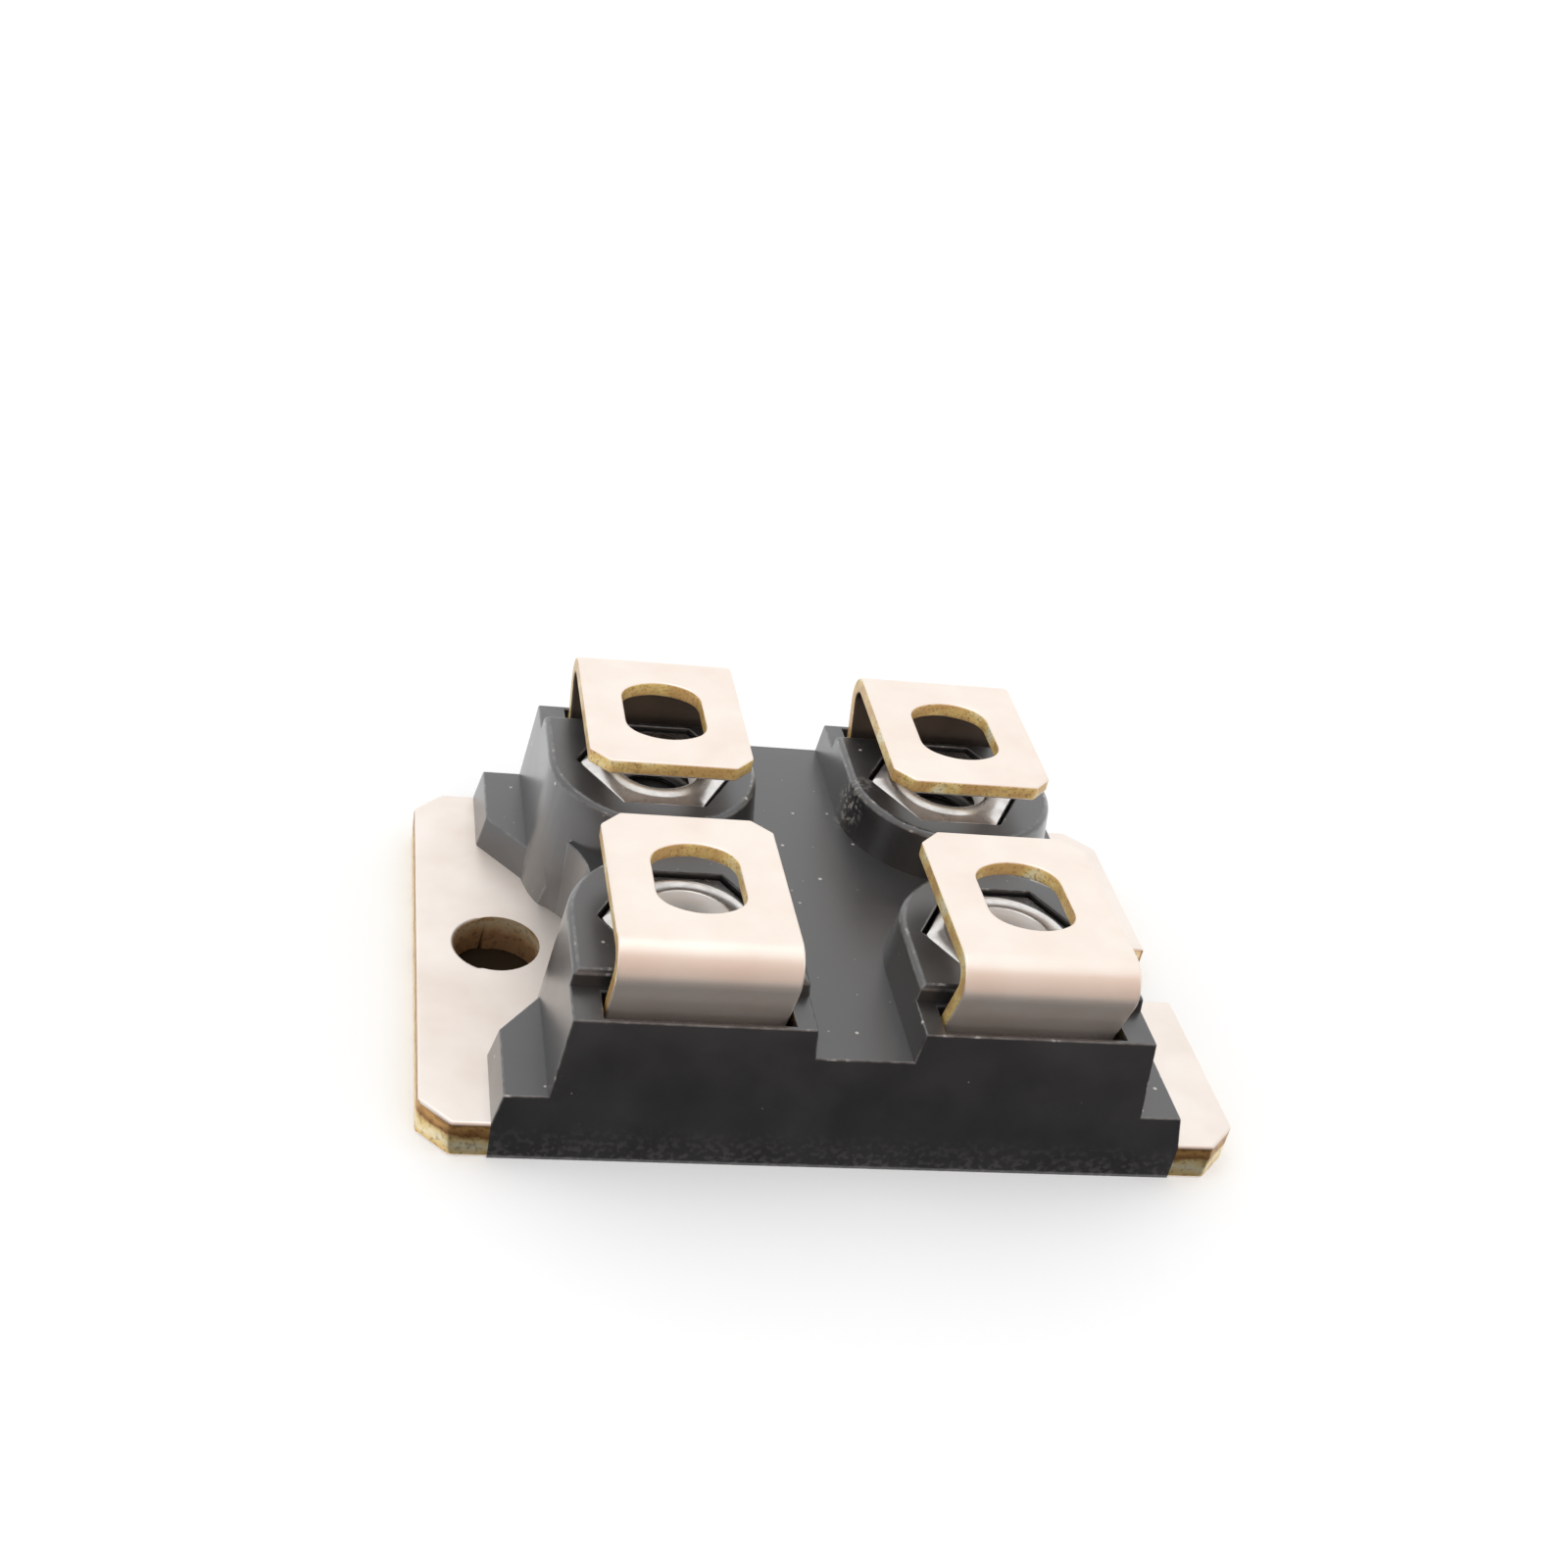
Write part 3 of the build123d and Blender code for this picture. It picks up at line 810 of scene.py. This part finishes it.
def seen_rays(tree):
    """1 for the rays that show the surround: camera, glossy and transmission rays."""
    path = add(tree, "LightPath")
    pair = add(
        tree, "Math",
        {0: path.outputs["Is Camera Ray"], 1: path.outputs["Is Glossy Ray"]},
        operation="MAXIMUM",
    )
    seen = add(
        tree, "Math",
        {0: pair.outputs[0], 1: path.outputs["Is Transmission Ray"]},
        operation="MAXIMUM",
    )
    return seen.outputs[0]


floor_form = bmesh.new()
bmesh.ops.create_grid(floor_form, x_segments=1, y_segments=1, size=FLOOR_HALF)
floor_finish = bpy.data.materials.new("pale_paper")
floor_finish.use_nodes = True
floor_tree = floor_finish.node_tree
floor_tree.nodes.clear()
# the floor is painted dark under the closed screw hole, a painted shade, so that the hole looks
# dark
shown = seen_rays(floor_tree)
floor_place = add(floor_tree, "TexCoord").outputs["Object"]
gap = add(floor_tree, "VectorMath", {0: floor_place, 1: SHADE_PLACE}, operation="DISTANCE")
shade_patch = add(
    floor_tree, "Math", {0: gap.outputs["Value"], 1: SHADE_REACH}, operation="LESS_THAN"
)
open_paper = add(
    floor_tree, "Mix",
    {0: shown, 6: paint(PAPER_BOUNCE), 7: paint(PAPER_SEEN)}, data_type="RGBA",
)
tone = add(
    floor_tree, "Mix",
    {0: shade_patch.outputs[0], 6: open_paper.outputs[2], 7: paint(PAPER_PAINTED_SHADE)}, data_type="RGBA",
)
paper = add(floor_tree, "BsdfDiffuse", {"Color": tone.outputs[2]})
clear = add(floor_tree, "Math", {0: 1.0, 1: shade_patch.outputs[0]}, operation="SUBTRACT")
white = add(floor_tree, "Math", {0: shown, 1: clear.outputs[0]}, operation="MULTIPLY")
glow_level = add(floor_tree, "Math", {0: white.outputs[0], 1: PAPER_GLOW}, operation="MULTIPLY")
glow = add(floor_tree, "Emission", {"Strength": glow_level.outputs[0]})
whole = add(floor_tree, "AddShader", {0: paper.outputs[0], 1: glow.outputs[0]})
add(floor_tree, "OutputMaterial", {"Surface": whole.outputs[0]})
floor = finished_piece("floor", floor_form, [floor_finish])

dim = bpy.data.materials.new("dim_card")
dim.use_nodes = True
dim_tree = dim.node_tree
dim_tree.nodes.clear()
card_place = add(dim_tree, "TexCoord").outputs["Object"]
card_spot = add(dim_tree, "SeparateXYZ", {"Vector": card_place})
along = add(
    dim_tree, "MapRange",
    {"Value": card_spot.outputs["Y"], "From Min": CARD_DARK_Y, "From Max": CARD_PALE_Y},
)
low = add(
    dim_tree, "MapRange",
    {"Value": along.outputs[0], "To Min": LEVEL_UNDER, "To Max": LEVEL_HORIZON},
)
upward = add(
    dim_tree, "MapRange",
    {"Value": card_spot.outputs["Z"], "From Min": 0.0, "From Max": CARD_HEIGHT,
     "To Max": LEVEL_TOP - LEVEL_HORIZON},
)
level = add(dim_tree, "Math", {0: low.outputs[0], 1: upward.outputs[0]}, operation="ADD")
hue = add(
    dim_tree, "Mix", {0: along.outputs[0], 6: paint(CARD_WHITE), 7: paint(CARD_TINT)},
    data_type="RGBA",
)
shade = add(dim_tree, "Emission", {"Color": hue.outputs[2], "Strength": level.outputs[0]})
add(dim_tree, "OutputMaterial", {"Surface": shade.outputs[0]})
near_y = cad_box[0].y - CARD_NEAR
card_parts = [
    ("dim_floor_card", near_y, (0, -CARD_DISTANCE - near_y, 0)),
    ("dim_wall_card", -CARD_DISTANCE, (0, 0, CARD_HEIGHT)),
]
for name, start_y, reach in card_parts:
    card_form = bmesh.new()
    ends = [
        card_form.verts.new((side * CARD_HALF_WIDTH, start_y, CARD_LIFT)) for side in (-1, 1)
    ]
    grown = bmesh.ops.extrude_edge_only(card_form, edges=[card_form.edges.new(ends)])
    far = [part for part in grown["geom"] if isinstance(part, bmesh.types.BMVert)]
    bmesh.ops.translate(card_form, vec=reach, verts=far)
    card = finished_piece(name, card_form, [dim])
    card.visible_camera = False
    card.visible_diffuse = False
    # only the upright card shades the floor
    card.visible_shadow = reach[2] > 0

world = bpy.data.worlds.new("white_surround")
bpy.context.scene.world = world
world.use_nodes = True
world.node_tree.nodes.clear()
sky = add(world.node_tree, "Background", {"Color": (1, 1, 1, 1), "Strength": 1.0})
add(world.node_tree, "OutputWorld", {"Surface": sky.outputs[0]})

lamp = bpy.data.lights.new("soft_key", "AREA")
lamp.shape = "SQUARE"
lamp.size = KEY_SIZE
lamp.energy = KEY_POWER
key = bpy.data.objects.new("soft_key", lamp)
key.location = KEY_PLACE
key.rotation_euler = KEY_PLACE.to_track_quat("Z", "Y").to_euler()
bpy.context.scene.collection.objects.link(key)


# ---- Camera ----------------------------------------------------------------
# A close view from the front left and a third of a right angle up, rolled a
# little, through a normal lens with a small shift.
CAMERA_AZIMUTH = math.radians(-12.12)
CAMERA_ELEVATION = math.radians(32.85)
CAMERA_ROLL = math.radians(10.23)
CAMERA_OFFSET = Vector((-6.02, 9.73, 100.16)) * MM
CAMERA_LENS = 45.66
CAMERA_SHIFT = (0.0713, 0.0075)

level_back = Vector((math.sin(CAMERA_AZIMUTH), -math.cos(CAMERA_AZIMUTH), 0))
back = level_back * math.cos(CAMERA_ELEVATION) + Vector((0, 0, math.sin(CAMERA_ELEVATION)))
right = Vector((math.cos(CAMERA_AZIMUTH), math.sin(CAMERA_AZIMUTH), 0))
up = back.cross(right)
rolled_right = right * math.cos(CAMERA_ROLL) + up * math.sin(CAMERA_ROLL)
rolled_up = up * math.cos(CAMERA_ROLL) - right * math.sin(CAMERA_ROLL)
turned = Matrix((rolled_right, rolled_up, back)).transposed()
lens = bpy.data.cameras.new("camera")
lens.lens = CAMERA_LENS
lens.shift_x, lens.shift_y = CAMERA_SHIFT
lens.clip_start = 1 * MM
camera = bpy.data.objects.new("camera", lens)
camera.matrix_world = Matrix.Translation(turned @ CAMERA_OFFSET) @ turned.to_4x4()
bpy.context.scene.collection.objects.link(camera)
bpy.context.scene.camera = camera
bpy.context.scene.view_settings.view_transform = "Standard"
